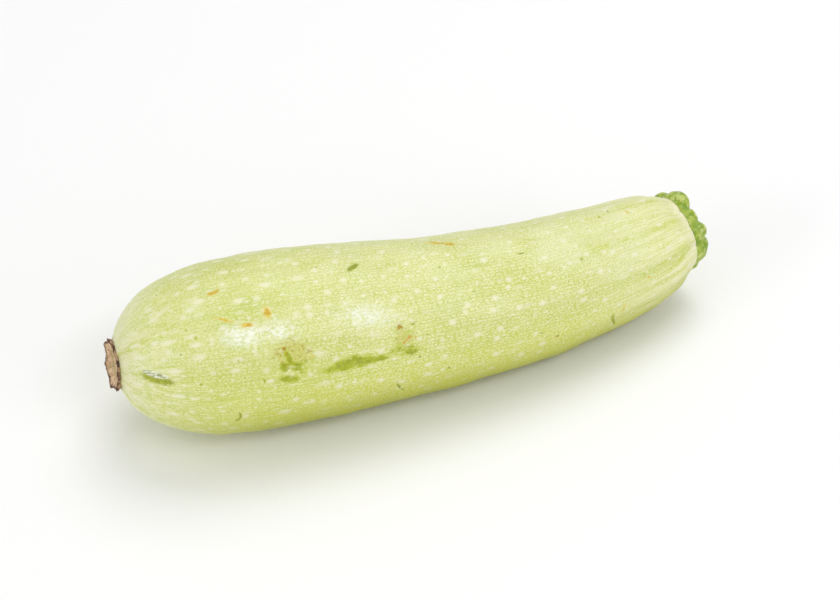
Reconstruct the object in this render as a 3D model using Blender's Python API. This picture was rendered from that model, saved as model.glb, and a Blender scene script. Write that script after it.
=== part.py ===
"""A whole pale-skinned zucchini, as picked, lying on its belly.

Metres, +Z up.  The fruit runs along +X from its dried blossom scar to its cut stem, the stem end
bends towards +Y, and the belly rests on z = 0.  The origin is under the middle of the whole thing.
Angles round the fruit and its ends start at the +Y side and rise over the top: 90 degrees is up.
"""

import bmesh
import bpy
import numpy as np

GAP = 0.0003                     # clearance where two pieces meet

# The fruit's centre line
FRUIT_LENGTH = 0.1855            # along the line, from one end face to the other
START_X = -0.0953                # the blossom end of the line
START_Y = -0.0022
START_HEIGHT = 0.0289
FALL = np.radians(3.25)          # the line sinks towards the thinner stem end
BEND = np.radians(17.0)          # and turns towards +Y
BEND_FROM = 0.40                 # as a share of the length
NECK_LIFT = 0.0012               # the stem sits a little above the line
NECK_FROM = 0.85

# Distance from the blossom end face and radius, along the fruit
GIRTH = (
    (0.0000, 0.0070),
    (0.0030, 0.0129),
    (0.0100, 0.0194),
    (0.0210, 0.0243),
    (0.0380, 0.0264),
    (0.0620, 0.0261),
    (0.0900, 0.0241),
    (0.1180, 0.0224),
    (0.1440, 0.0208),
    (0.1610, 0.0194),
    (0.1720, 0.0182),
    (0.1795, 0.0163),
    (0.1855, 0.0129),
)
STEM_FURROW_DEPTH = 0.00055      # furrows that run on from the stem's grooves
STEM_FURROWS = (0.62, 0.97)      # where they start and where they are deepest
FURROW_WIDTH = np.radians(7.0)
BLOSSOM_PLEAT_DEPTH = 0.00035    # pleats round the blossom end
BLOSSOM_PLEATS = 10
BLOSSOM_PLEATS_DRIFT = 2.0       # and how unevenly they are spaced
BLOSSOM_PLEATS_FADE = (0.02, 0.16)
SIDE_DEPTH = 0.00040             # five blunt sides along the whole fruit
SIDES = 5
SIDES_GROW = (0.0, 0.2)

# The stem's lobes in turn from FIRST_LOBE: width in degrees, relief and length against a full lobe
FIRST_LOBE = 66.0
LOBES = (
    (38.0, 1.35, 0.86),
    (25.0, 0.85, 0.74),
    (27.0, 0.95, 1.00),
    (37.0, 1.05, 0.98),
    (22.0, 0.75, 0.85),
    (37.0, 1.00, 1.00),
    (31.0, 0.90, 0.92),
    (41.0, 1.05, 1.05),
    (27.0, 0.80, 0.88),
    (42.0, 1.00, 1.00),
    (33.0, 0.95, 0.94),
)
STEM_LEAN = 0.20                 # the stem leans up, as a share of its height
# Height above the stem's base and radius, from its foot round the knuckle to the middle of its cut face
STEM_RIDGE = (
    (0.0000, 0.0134),
    (0.0012, 0.0139),
    (0.0030, 0.0140),
    (0.0050, 0.0132),
    (0.0064, 0.0117),
    (0.0070, 0.0101),
    (0.0067, 0.0087),
    (0.0061, 0.0078),
    (0.0057, 0.0066),
    (0.0055, 0.0040),
    (0.0058, 0.0000),
)
STEM_GROOVE = (
    (0.0000, 0.0128),
    (0.0012, 0.0125),
    (0.0026, 0.0120),
    (0.0038, 0.0112),
    (0.0048, 0.0102),
    (0.0053, 0.0093),
    (0.0057, 0.0084),
    (0.0058, 0.0075),
    (0.0057, 0.0066),
    (0.0055, 0.0040),
    (0.0058, 0.0000),
)
LOBE_ROUNDNESS = 2.2             # 2 is a half circle across each lobe

# Height above the scar's base and radius, from its foot over the ragged rim to the middle of its face
SCAR_PROFILE = (
    (0.0000, 0.0073),
    (0.0004, 0.0077),
    (0.0009, 0.0081),
    (0.0014, 0.0081),
    (0.0016, 0.0076),
    (0.0013, 0.0068),
    (0.0008, 0.0056),
    (0.0006, 0.0036),
    (0.0007, 0.0018),
    (0.0009, 0.0000),
)
SCAR_INNER_RADIUS = 0.0040       # the face inside this is round, outside it is as torn as the rim
SCAR_SLANT = 0.35                # how much lower the rim is at its near upper side
SCAR_SLANT_TOWARDS = np.radians(140.0)
SCAR_TIP_ANGLE = np.radians(268.0)
SCAR_TIP_LENGTH = 0.0016
SCAR_TIP_WIDTH = np.radians(9.0)
SCAR_BITE_ANGLE = np.radians(304.0)
SCAR_BITE_WIDTH = np.radians(24.0)
SCAR_BITE = 0.14                 # a piece broken out of the rim, as a share of the radius
# Waves of the torn rim: how many go round, their size and where they start
SCAR_OUTLINE_WAVES = ((2, 0.023, 2.0), (5, 0.018, 1.0), (9, 0.023, 0.0))
SCAR_HEIGHT_WAVES = ((7, 0.12, 0.7),)

# Mesh density
LINE_STEPS = 2000
FRUIT_RINGS = 52
FRUIT_SIDES = 56
STEM_RINGS = 15
STEM_SIDES_A_LOBE = 8
SCAR_RINGS = 10
SCAR_SIDES = 46
CREASE = np.radians(40.0)        # faces that meet at more than this show an edge

FULL_TURN = 2.0 * np.pi


def clear_scene():
    """Remove whatever the scene holds."""
    for thing in list(bpy.data.objects):
        bpy.data.objects.remove(thing, do_unlink=True)


def ease(low, high, value):
    """Rise smoothly from 0 at low to 1 at high."""
    share = np.clip((value - low) / (high - low), 0.0, 1.0)
    return share * share * (3.0 - 2.0 * share)


def curve_through(points, knots, at):
    """A smooth curve that passes each point at its knot, read at the given values."""
    points = np.asarray(points, dtype=float)
    slopes = np.gradient(points, knots, axis=0)
    piece = np.clip(np.searchsorted(knots, at, side="right") - 1, 0, len(knots) - 2)
    step = (knots[piece + 1] - knots[piece])[:, None]
    share = (at - knots[piece])[:, None] / step
    rise = share * share * (3.0 - 2.0 * share)
    leave = share * (1.0 - share) ** 2 * step * slopes[piece]
    arrive = share * share * (share - 1.0) * step * slopes[piece + 1]
    return points[piece] * (1.0 - rise) + points[piece + 1] * rise + leave + arrive


def along(points, count):
    """The given number of points, evenly spaced along the smooth curve through a few."""
    gaps = np.linalg.norm(np.diff(np.asarray(points), axis=0), axis=1)
    knots = np.concatenate([[0.0], np.cumsum(gaps)])
    return curve_through(points, knots, np.linspace(0.0, knots[-1], count))


def centre_line(share):
    """Places and the forward, side and up directions of the centre line, at shares of its length."""
    fine = np.linspace(0.0, 1.0, LINE_STEPS + 1)
    fine_turn = BEND * ease(BEND_FROM, 1.0, fine)
    middle_turn = (fine_turn[1:] + fine_turn[:-1]) / 2.0
    run_x = np.concatenate([[0.0], np.cumsum(np.cos(middle_turn))]) / LINE_STEPS
    run_y = np.concatenate([[0.0], np.cumsum(np.sin(middle_turn))]) / LINE_STEPS
    level = FRUIT_LENGTH * np.cos(FALL)
    place = np.stack([
        START_X + level * np.interp(share, fine, run_x),
        START_Y + level * np.interp(share, fine, run_y),
        START_HEIGHT - FRUIT_LENGTH * np.sin(FALL) * share + NECK_LIFT * ease(NECK_FROM, 1.0, share),
    ], axis=-1)
    turn = BEND * ease(BEND_FROM, 1.0, share)
    flat = np.zeros_like(turn)
    forward = np.stack([np.cos(turn) * np.cos(FALL), np.sin(turn) * np.cos(FALL), flat - np.sin(FALL)], axis=-1)
    side = np.stack([-np.sin(turn), np.cos(turn), flat], axis=-1)
    return place, forward, side, np.cross(forward, side)


def angle_between(first, second):
    """The turn from the second angle to the first, between minus and plus half a turn."""
    return (first - second + np.pi) % FULL_TURN - np.pi


def lobe_edges():
    """The angle of the groove before each lobe, and of the last one's end."""
    widths = np.radians([lobe[0] for lobe in LOBES])
    return np.radians(FIRST_LOBE) + np.concatenate([[0.0], np.cumsum(widths)])


def fruit_relief(angle, share):
    """How far the skin stands off its plain round, at angles round and shares along the fruit."""
    relief = SIDE_DEPTH * np.cos(SIDES * angle) * ease(*SIDES_GROW, share)
    for groove in lobe_edges()[:-1]:
        furrow = np.exp(-(angle_between(angle, groove) / FURROW_WIDTH) ** 2)
        relief = relief - STEM_FURROW_DEPTH * furrow * ease(*STEM_FURROWS, share)
    pleats = 0.5 + 0.5 * np.cos(BLOSSOM_PLEATS * angle + BLOSSOM_PLEATS_DRIFT * np.sin(2.0 * angle))
    return relief - BLOSSOM_PLEAT_DEPTH * pleats * (1.0 - ease(*BLOSSOM_PLEATS_FADE, share))


def fruit_rings(rings, sides):
    """Rings of points on the fruit's skin, from the blossom end to the stem end."""
    profile = along(GIRTH, rings)
    share = profile[:, 0] / FRUIT_LENGTH
    place, forward, side, up = centre_line(share)
    angle = np.linspace(0.0, FULL_TURN, sides, endpoint=False)
    radius = profile[:, 1, None] + fruit_relief(angle[None, :], share[:, None])
    skin = place[:, None] + radius[..., None] * (
        np.cos(angle)[None, :, None] * side[:, None] + np.sin(angle)[None, :, None] * up[:, None])
    skin[..., 2] = np.maximum(skin[..., 2], 0.0)     # the flat spot that it lies on
    return skin


def lobe_shape(angle):
    """How far each angle stands up its lobe, from 0 in a groove to 1 on a full ridge, and its length."""
    edges = lobe_edges()
    turned = (angle - edges[0]) % FULL_TURN + edges[0]
    lobe = np.clip(np.searchsorted(edges, turned, side="right") - 1, 0, len(LOBES) - 1)
    across = 2.0 * (turned - edges[lobe]) / (edges[lobe + 1] - edges[lobe]) - 1.0
    bump = (1.0 - np.abs(across) ** LOBE_ROUNDNESS) ** (1.0 / LOBE_ROUNDNESS)
    relief = np.array([size[1] for size in LOBES])[lobe]
    middles = (edges[1:] + edges[:-1]) / 2.0
    length = np.interp(angle, middles, [size[2] for size in LOBES], period=FULL_TURN)
    return bump * relief, length


def stem_rings(rings, angle):
    """Rings of height and radius from the stem's foot to the middle of its cut face."""
    knots = np.linspace(0.0, 1.0, len(STEM_RIDGE))
    at = np.linspace(0.0, 1.0, rings)
    ridge = curve_through(STEM_RIDGE, knots, at)[:, None]
    groove = curve_through(STEM_GROOVE, knots, at)[:, None]
    stand, length = lobe_shape(angle)
    section = groove + (ridge - groove) * stand[None, :, None]
    reach = ease(0.0, STEM_RIDGE[-4][1], ridge[..., 1])
    return section[..., 0] * (1.0 + reach * (length[None, :] - 1.0)), section[..., 1]


def waves(angle, parts):
    """The sum of a few waves round a rim."""
    return sum(size * np.sin(count * angle + start) for count, size, start in parts)


def scar_rings(rings, angle):
    """Rings of height and radius from the scar's foot over its torn rim to the middle of its face."""
    profile = along(SCAR_PROFILE, rings)
    rim = ease(SCAR_INNER_RADIUS, SCAR_PROFILE[0][1], profile[:, 1])[:, None]
    tip = np.exp(-(angle_between(angle, SCAR_TIP_ANGLE) / SCAR_TIP_WIDTH) ** 2)
    bite = SCAR_BITE * np.exp(-(angle_between(angle, SCAR_BITE_ANGLE) / SCAR_BITE_WIDTH) ** 2)
    slant = 1.0 - SCAR_SLANT * np.cos(angle - SCAR_SLANT_TOWARDS)
    height = profile[:, 0, None] * (slant - bite) * (1.0 + waves(angle, SCAR_HEIGHT_WAVES) * rim)
    radius = profile[:, 1, None] * (1.0 + (waves(angle, SCAR_OUTLINE_WAVES) - bite) * rim)
    lifted = ease(0.0, SCAR_PROFILE[3][0], profile[:, 0])[:, None]
    return height, radius + SCAR_TIP_LENGTH * tip * rim * lifted


def stand_on(share, outward, lean, height, radius, angle):
    """Points of an end piece that stands on the fruit's end face, outward along the centre line."""
    place, forward, side, up = (row[0] for row in centre_line(np.array([share])))
    across = np.cos(angle)[None, :, None] * side + np.sin(angle)[None, :, None] * up
    reach = outward * forward + lean * up
    return place + outward * forward * GAP + reach * height[..., None] + radius[..., None] * across


def material(name, colour, roughness):
    """A plain skin, flesh or cork finish."""
    finish = bpy.data.materials.new(name)
    finish.use_nodes = True
    surface = finish.node_tree.nodes["Principled BSDF"]
    surface.inputs["Base Color"].default_value = (*colour, 1.0)
    surface.inputs["Roughness"].default_value = roughness
    surface.inputs["Metallic"].default_value = 0.0
    return finish


def closed_body(name, rings, finish, centre=None):
    """One object from rings of points, with its first ring closed flat and its last flat or at a point."""
    shape = bmesh.new()
    loops = [[shape.verts.new(point) for point in ring] for ring in rings]
    for low, high in zip(loops[:-1], loops[1:]):
        for here, start in enumerate(low):
            after = (here + 1) % len(low)
            shape.faces.new((start, low[after], high[after], high[here]))
    shape.faces.new(loops[0])
    if centre is None:
        shape.faces.new(loops[-1])
    else:
        middle = shape.verts.new(centre)
        for here, start in enumerate(loops[-1]):
            shape.faces.new((start, loops[-1][(here + 1) % len(loops[-1])], middle))
    bmesh.ops.recalc_face_normals(shape, faces=shape.faces)
    mesh = bpy.data.meshes.new(name)
    shape.to_mesh(mesh)
    shape.free()
    mesh.shade_smooth()
    mesh.set_sharp_from_angle(angle=CREASE)
    mesh.materials.append(finish)
    body = bpy.data.objects.new(name, mesh)
    bpy.context.scene.collection.objects.link(body)
    return body


def make_fruit():
    """The pale green fruit, one solid, with a flat face where each end piece meets it."""
    finish = material("fruit_skin", (0.62, 0.70, 0.32), 0.42)
    return closed_body("fruit", fruit_rings(FRUIT_RINGS, FRUIT_SIDES), finish)


def make_stem():
    """The short cut stem: green lobes like knuckles round a sunken cut face."""
    edges = lobe_edges()
    steps = np.arange(STEM_SIDES_A_LOBE) / STEM_SIDES_A_LOBE
    angle = (edges[:-1, None] + np.diff(edges)[:, None] * steps).ravel()
    height, radius = stem_rings(STEM_RINGS, angle)
    skin = stand_on(1.0, 1.0, STEM_LEAN, height, radius, angle)
    finish = material("stem_green", (0.33, 0.45, 0.09), 0.5)
    return closed_body("stem", skin[:-1], finish, centre=skin[-1].mean(axis=0))


def make_blossom_scar():
    """The dried flower's corky scar, a shallow dish with a torn rim."""
    angle = np.linspace(0.0, FULL_TURN, SCAR_SIDES, endpoint=False)
    height, radius = scar_rings(SCAR_RINGS, angle)
    skin = stand_on(0.0, -1.0, 0.0, height, radius, angle)
    finish = material("scar_cork", (0.30, 0.20, 0.10), 0.85)
    return closed_body("blossom_scar", skin[:-1], finish, centre=skin[-1].mean(axis=0))


def main():
    clear_scene()
    make_fruit()
    make_stem()
    make_blossom_scar()


main()
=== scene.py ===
"""A whole pale-skinned zucchini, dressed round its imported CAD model.

Metres, +Z up, in the CAD model's frame: the fruit runs along +X from its dried blossom scar to its
cut stem, and lies on z = 0.  Angles round the fruit start at the +Y side and rise over the top, so
that 90 degrees is up and 180 degrees is the near side.  The shape is the CAD source's own, read at
a finer step, with the small relief of the skin, the stem and the scar added to it.  The stem's lobes
and the scar's rim and hollow are moved by up to about a millimetre.
"""

import bpy
import numpy as np
from mathutils import Matrix, Vector


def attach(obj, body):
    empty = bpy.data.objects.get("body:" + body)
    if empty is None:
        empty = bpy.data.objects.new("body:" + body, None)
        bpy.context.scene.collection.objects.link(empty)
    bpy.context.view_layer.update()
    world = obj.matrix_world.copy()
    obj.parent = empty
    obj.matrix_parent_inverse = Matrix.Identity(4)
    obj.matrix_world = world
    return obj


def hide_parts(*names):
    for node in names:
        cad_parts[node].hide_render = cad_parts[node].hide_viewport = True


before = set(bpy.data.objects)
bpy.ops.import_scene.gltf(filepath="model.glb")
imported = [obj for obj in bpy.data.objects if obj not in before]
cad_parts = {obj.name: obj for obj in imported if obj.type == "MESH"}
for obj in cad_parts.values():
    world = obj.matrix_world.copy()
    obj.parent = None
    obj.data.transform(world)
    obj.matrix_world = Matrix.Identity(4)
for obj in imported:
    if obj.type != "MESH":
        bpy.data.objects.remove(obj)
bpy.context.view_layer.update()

FULL_TURN = 2.0 * np.pi
MM = 0.001

# The CAD source's fruit; the rows of a profile give a distance along it and a radius
FRUIT_LENGTH = 0.1855
START_X = -0.0953
START_Y = -0.0022
START_HEIGHT = 0.0289
FALL = np.radians(3.25)
BEND = np.radians(17.0)
BEND_FROM = 0.40
NECK_LIFT = 0.0012
NECK_FROM = 0.85
GIRTH = (
    (0.0000, 0.0070),
    (0.0030, 0.0129),
    (0.0100, 0.0194),
    (0.0210, 0.0243),
    (0.0380, 0.0264),
    (0.0620, 0.0261),
    (0.0900, 0.0241),
    (0.1180, 0.0224),
    (0.1440, 0.0208),
    (0.1610, 0.0194),
    (0.1720, 0.0182),
    (0.1795, 0.0163),
    (0.1855, 0.0129),
)
STEM_FURROW_DEPTH = 0.00055
STEM_FURROWS = (0.62, 0.97)
FURROW_WIDTH = np.radians(7.0)
BLOSSOM_PLEAT_DEPTH = 0.00035
BLOSSOM_PLEATS = 10
BLOSSOM_PLEATS_DRIFT = 2.0
BLOSSOM_PLEATS_FADE = (0.02, 0.16)
SIDE_DEPTH = 0.00040
SIDES = 5
SIDES_GROW = (0.0, 0.2)

# The CAD source's stem, but for a smaller last lobe: each lobe's degrees round, relief and length
FIRST_LOBE = 66.0
LOBES = (
    (38.0, 1.35, 0.86),
    (25.0, 0.85, 0.74),
    (27.0, 0.95, 1.00),
    (37.0, 1.05, 0.98),
    (22.0, 0.75, 0.85),
    (37.0, 1.00, 1.00),
    (31.0, 0.90, 0.92),
    (41.0, 1.05, 1.05),
    (27.0, 0.80, 0.88),
    (42.0, 1.00, 1.00),
    (33.0, 0.80, 0.84),
)
STEM_LEAN = 0.20
STEM_RIDGE = (
    (0.0000, 0.0134),
    (0.0012, 0.0139),
    (0.0030, 0.0140),
    (0.0050, 0.0132),
    (0.0064, 0.0117),
    (0.0070, 0.0101),
    (0.0067, 0.0087),
    (0.0061, 0.0078),
    (0.0057, 0.0066),
    (0.0055, 0.0040),
    (0.0058, 0.0000),
)
STEM_GROOVE = (
    (0.0000, 0.0128),
    (0.0012, 0.0125),
    (0.0026, 0.0120),
    (0.0038, 0.0112),
    (0.0048, 0.0102),
    (0.0053, 0.0093),
    (0.0057, 0.0084),
    (0.0058, 0.0075),
    (0.0057, 0.0066),
    (0.0055, 0.0040),
    (0.0058, 0.0000),
)
LOBE_ROUNDNESS = 2.2

# The CAD source's blossom scar; its waves give a count round, a size and a start
SCAR_PROFILE = (
    (0.0000, 0.0073),
    (0.0004, 0.0077),
    (0.0009, 0.0081),
    (0.0014, 0.0081),
    (0.0016, 0.0076),
    (0.0013, 0.0068),
    (0.0008, 0.0056),
    (0.0006, 0.0036),
    (0.0007, 0.0018),
    (0.0009, 0.0000),
)
SCAR_INNER_RADIUS = 0.0040
SCAR_SLANT = 0.35
SCAR_SLANT_TOWARDS = np.radians(140.0)
SCAR_TIP_ANGLE = np.radians(268.0)
SCAR_TIP_LENGTH = 0.0016
SCAR_TIP_WIDTH = np.radians(9.0)
SCAR_BITE_ANGLE = np.radians(304.0)
SCAR_BITE_WIDTH = np.radians(24.0)
SCAR_BITE = 0.14
SCAR_OUTLINE_WAVES = ((2, 0.023, 2.0), (5, 0.018, 1.0), (9, 0.023, 0.0))
SCAR_HEIGHT_WAVES = ((7, 0.12, 0.7),)

# Mesh density
LINE_STEPS = 2000
FRUIT_RINGS = 340
FRUIT_SIDES = 280
STEM_RINGS = 70
STEM_SIDES_A_LOBE = 24
SCAR_RINGS = 56
SCAR_SIDES = 220
CREASE = np.radians(60.0)        # edges that turn by more than this are drawn sharp

# Unevenness of the skin: size, shortest and longest wave, how many waves, stretch along the fruit
LUMPS = (0.10 * MM, 9.0 * MM, 22.0 * MM, 26, 1.0)
RIBS = (0.035 * MM, 2.5 * MM, 5.0 * MM, 30, 7.0)
GRAIN = (0.016 * MM, 1.6 * MM, 3.0 * MM, 40, 1.6)

# Unevenness of the end pieces: size, shortest and longest wave, how many waves
STEM_LUMPS = (0.09 * MM, 2.4 * MM, 5.0 * MM, 30)
STEM_FIBRES = (0.09 * MM, 0.5 * MM, 1.4 * MM, 30)
SCAR_TEARS = (0.14 * MM, 1.8 * MM, 4.0 * MM, 30)
SCAR_CRUMBS = (0.05 * MM, 0.5 * MM, 1.1 * MM, 40)
STEM_LUMPS_SEED = 7
STEM_FIBRES_SEED = 8
SCAR_TEARS_SEED = 11
SCAR_CRUMBS_SEED = 12

# What else sets the end pieces apart from the CAD source's
SEAT = 0.4 * MM                  # how far they sink into the fruit, where the CAD leaves a gap
AT_STEM = (1.0, 1.0, STEM_LEAN)  # share along the fruit, which way it faces and how it leans
AT_SCAR = (0.0, -1.0, 0.0)
STEM_SOFTENED = 10               # times that the lobes are smoothed
STEM_RISE = 0.075                # share by which its round is pushed up
STEM_RISE_TOWARDS = np.radians(96.0)
STEM_FACE = (0.0085, 0.0103)     # the cut face ends and the skin begins between these radii
STEM_FIBRE_STRETCH = 0.3
SCAR_TRIM = 0.085                # share of its radius that the scar lacks beside its upper point
SCAR_TRIM_ANGLES = (np.radians(-4.0), np.radians(52.0), np.radians(88.0))
SCAR_TRIM_WIDTH = np.radians(27.0)
SCAR_RAISE = 0.9 * MM            # how much further its rim stands out at the far low side
SCAR_RAISE_ANGLE = np.radians(304.0)
SCAR_RAISE_WIDTH = np.radians(36.0)
SCAR_LEAST = 0.85 * MM           # the least height of its face above its foot
SCAR_FACE_STEP = 0.05            # past the rim, in shares of the way from the foot to the middle
SCAR_WALL_END = (-0.02, 0.03)
SCAR_RIM_WIDTH = 0.06
SCAR_TORN_HEIGHT = 0.7           # the tears' size lengthwise, against their size sideways

# The skin's patterns lie on a plain tube of this radius in mm.  The flat ones are on two sheets laid
# out from it, the lower of which gives way to the upper between these turns from straight down.
UNROLLED_RADIUS = 24.0
DOWN = np.radians(270.0)
SHEET_JOIN = np.radians((14.0, 34.0))

# Where the skin changes, as turns from straight down or from the middle of the milky top with its
# painted sheen
# UNDERSIDE and LOW_SIDE hold painted shade and green bounce light on the lower side, partly the skin's
# yellower ground spot
UNDERSIDE = np.radians((46.0, 96.0))
LOW_SIDE = np.radians((66.0, 132.0))
BLOOM_AND_SHEEN_MIDDLE = np.radians(100.0)
BLOOM_AND_SHEEN = np.radians((20.0, 80.0))
FURROW_TINT_WIDTH = np.radians(3.0)

# Where the skin changes, as shares of the fruit's length from the blossom scar
BY_SCAR_END = (0.0, 0.05)
NOSE_END = (0.02, 0.15)
BLOSSOM_HALF_END = (0.15, 0.50)
UNDERSIDE_FROM = (0.0, 0.30)
BLOOM_AND_SHEEN_GROWS = (0.3, 0.8)
FURROW_TINT_FROM = (0.45, 0.95)
FURROW_TINT_END = (0.985, 1.0)
NECK_SKIN_FROM = (0.70, 0.96)
COLLAR_SKIN_FROM = (0.968, 0.996)
COLLAR = 0.0002                  # how far the skin stands round the foot of the stem
COLLAR_FROM = (0.986, 1.0)
COLLAR_RISE = 0.3 * STEM_RISE    # the most that it follows the stem's push

# The rows of fine light specks: width and distance of the rows in mm, and how much they are drawn out
SPECK_WIDTH = 0.50
SPECK_ROW = 1.12
SPECK_STRETCH = 0.50

# Marks on the skin: mm from the blossom scar along the skin, degrees round, length and width in mm,
# degrees that the length turns from along the fruit, and strength
BRUISES = (
    (54.2, 150.8, 5.2, 1.8, 72.0, 1.0),
    (52.9, 156.0, 3.2, 3.2, 0.0, 1.0),
    (56.6, 155.6, 5.0, 1.5, 2.0, 0.95),
    (56.8, 158.8, 5.4, 1.3, 6.0, 0.85),
    (57.8, 161.6, 3.4, 1.2, 10.0, 0.7),
    (53.8, 165.0, 5.6, 2.6, 8.0, 1.0),
    (66.8, 163.2, 7.0, 2.2, -8.0, 0.8),
    (71.0, 162.4, 8.5, 4.2, -6.0, 1.0),
    (74.0, 158.8, 2.8, 2.6, 0.0, 1.0),
    (76.5, 162.0, 9.0, 3.6, 0.0, 1.0),
    (81.5, 162.3, 7.0, 2.2, -4.0, 0.9),
    (85.6, 158.6, 5.0, 1.4, -20.0, 0.65),
    (90.6, 159.6, 9.0, 5.4, 10.0, 0.68),
    (91.4, 162.0, 3.6, 2.4, 0.0, 1.0),
    (87.6, 159.0, 3.0, 1.6, -30.0, 0.8),
    (87.8, 156.2, 2.6, 1.6, 0.0, 0.75),
    (91.0, 147.0, 6.0, 1.5, -30.0, 0.55),
    (78.8, 95.2, 5.4, 2.4, -33.0, 0.7),
    (46.6, 163.5, 1.9, 0.8, 75.0, 0.9),
    (39.6, 147.5, 1.3, 1.0, 0.0, 0.8),
    (28.5, 161.5, 1.3, 1.1, 0.0, 0.8),
    (114.9, 162.5, 1.3, 1.0, 0.0, 0.7),
    (128.6, 155.0, 1.2, 0.9, 0.0, 0.7),
    (163.3, 85.5, 1.5, 1.0, 0.0, 0.8),
    (168.6, 154.0, 1.4, 0.9, 20.0, 0.8),
    (157.1, 187.5, 4.4, 1.5, 70.0, 0.9),
    (28.6, 129.0, 2.0, 1.8, 17.0, 0.62),
    (26.5, 121.8, 1.2, 1.0, 0.0, 0.6),
)
BURNS = (
    (55.6, 148.0, 11.0, 8.0, 0.0, 1.0),
    (89.6, 150.5, 6.5, 4.6, -20.0, 0.8),
    (88.5, 143.4, 3.2, 2.8, 0.0, 0.9),
)
SCABS = (
    (35.5, 99.5, 1.9, 1.3, 0.0, 1.0),
    (37.1, 99.0, 2.8, 1.1, -35.0, 1.0),
    (50.2, 120.5, 3.6, 2.0, 80.0, 1.0),
    (43.8, 126.3, 3.8, 1.4, 5.0, 0.9),
    (37.4, 120.5, 6.0, 0.8, 24.0, 0.8),
    (107.0, 78.0, 4.4, 1.7, 18.0, 0.9),
    (111.0, 81.5, 4.2, 1.6, 20.0, 0.9),
    (170.3, 159.0, 1.5, 0.7, 20.0, 0.8),
    (61.0, 152.5, 1.3, 1.0, 0.0, 0.7),
    (160.5, 182.2, 6.0, 0.8, 107.0, 0.7),
    (173.3, 90.0, 3.0, 0.7, 78.0, 0.7),
)
RUST = (
    (53.2, 144.6, 1.4, 1.3, 0.0, 1.0),
    (52.4, 152.4, 0.9, 0.8, 0.0, 0.8),
    (88.5, 143.0, 1.7, 1.5, 0.0, 1.0),
    (137.5, 183.5, 1.3, 1.1, 0.0, 1.0),
    (109.2, 80.0, 1.0, 0.9, 0.0, 1.0),
    (111.6, 82.0, 1.0, 0.9, 0.0, 1.0),
    (86.7, 175.2, 2.2, 0.5, 47.0, 0.8),
    (88.5, 175.6, 2.8, 0.5, -29.0, 0.8),
    (90.9, 91.2, 4.2, 0.6, 2.0, 0.6),
)
EMBERS = (
    (89.4, 154.0, 1.6, 0.9, -35.0, 1.0),
    (90.4, 152.4, 1.2, 0.9, -35.0, 1.0),
    (91.3, 150.8, 1.5, 1.1, -20.0, 1.0),
    (93.0, 152.4, 1.3, 1.0, 0.0, 0.85),
    (92.4, 150.0, 1.0, 0.8, 0.0, 0.8),
    (95.2, 153.6, 1.0, 0.9, 0.0, 0.7),
    (52.4, 152.4, 1.0, 0.9, 0.0, 0.9),
)
# Whitish patches, partly a waxy film and partly painted highlights of the lamps
WAX_AND_HIGHLIGHT = (
    (42.0, 132.5, 13.0, 7.0, 4.0, 1.1),
    (52.5, 133.0, 12.0, 8.0, 20.0, 0.85),
    (79.0, 132.0, 20.0, 9.0, 6.0, 0.85),
)
GREEN_STREAKS = (
    (8.0, 122.5, 15.0, 2.0, 0.0, 1.0),
    (7.0, 154.0, 10.0, 1.3, 0.0, 1.0),
    (7.0, 176.0, 12.0, 1.4, 0.0, 0.9),
    (9.0, 96.0, 13.0, 1.8, 0.0, 0.9),
    (8.0, 62.0, 12.0, 1.6, 0.0, 0.9),
    (9.0, 20.0, 14.0, 2.0, 0.0, 0.9),
    (8.0, 335.0, 12.0, 1.8, 0.0, 0.9),
    (8.0, 290.0, 14.0, 2.0, 0.0, 0.9),
    (8.0, 248.0, 13.0, 1.6, 0.0, 0.9),
    (8.0, 212.0, 13.0, 1.8, 0.0, 0.9),
    (34.0, 157.0, 36.0, 3.0, 0.0, 0.7),
    (42.0, 163.5, 34.0, 1.2, 0.0, 0.8),
    (50.0, 169.0, 30.0, 1.1, 0.0, 0.8),
    (38.0, 174.0, 34.0, 1.3, 0.0, 0.7),
    (66.0, 172.0, 30.0, 0.9, 0.0, 0.7),
    (30.0, 143.0, 24.0, 1.2, 4.0, 0.7),
    (33.0, 118.0, 30.0, 1.4, 0.0, 0.7),
    (52.0, 108.0, 40.0, 1.2, 0.0, 0.7),
    (96.0, 150.0, 44.0, 1.0, 0.0, 0.6),
    (112.0, 128.0, 50.0, 1.1, 0.0, 0.6),
    (124.0, 168.0, 46.0, 1.0, 0.0, 0.6),
    (188.0, 155.0, 14.0, 1.4, -12.0, 2.4),
    (180.0, 151.5, 26.0, 1.8, -4.0, 1.6),
    (163.0, 152.0, 36.0, 1.9, 0.0, 1.1),
    (184.0, 117.5, 18.0, 1.3, 0.0, 1.9),
    (166.0, 117.5, 44.0, 1.9, 0.0, 1.2),
    (182.0, 84.0, 26.0, 1.6, 0.0, 1.2),
    (172.0, 101.0, 26.0, 1.1, 0.0, 0.5),
    (180.0, 172.0, 24.0, 1.6, 0.0, 0.7),
    (182.0, 215.0, 24.0, 1.8, 0.0, 1.1),
    (182.0, 250.0, 24.0, 1.8, 0.0, 1.1),
    (182.0, 300.0, 24.0, 1.8, 0.0, 1.1),
    (182.0, 345.0, 24.0, 1.8, 0.0, 1.1),
    (182.0, 35.0, 24.0, 1.8, 0.0, 1.1),
)
GOUGE_PIT = (15.3, 157.0, 9.0, 2.8, 11.0, 1.0)
GOUGE_LIP = (14.8, 152.8, 8.4, 2.0, 13.0, 1.0)
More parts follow.
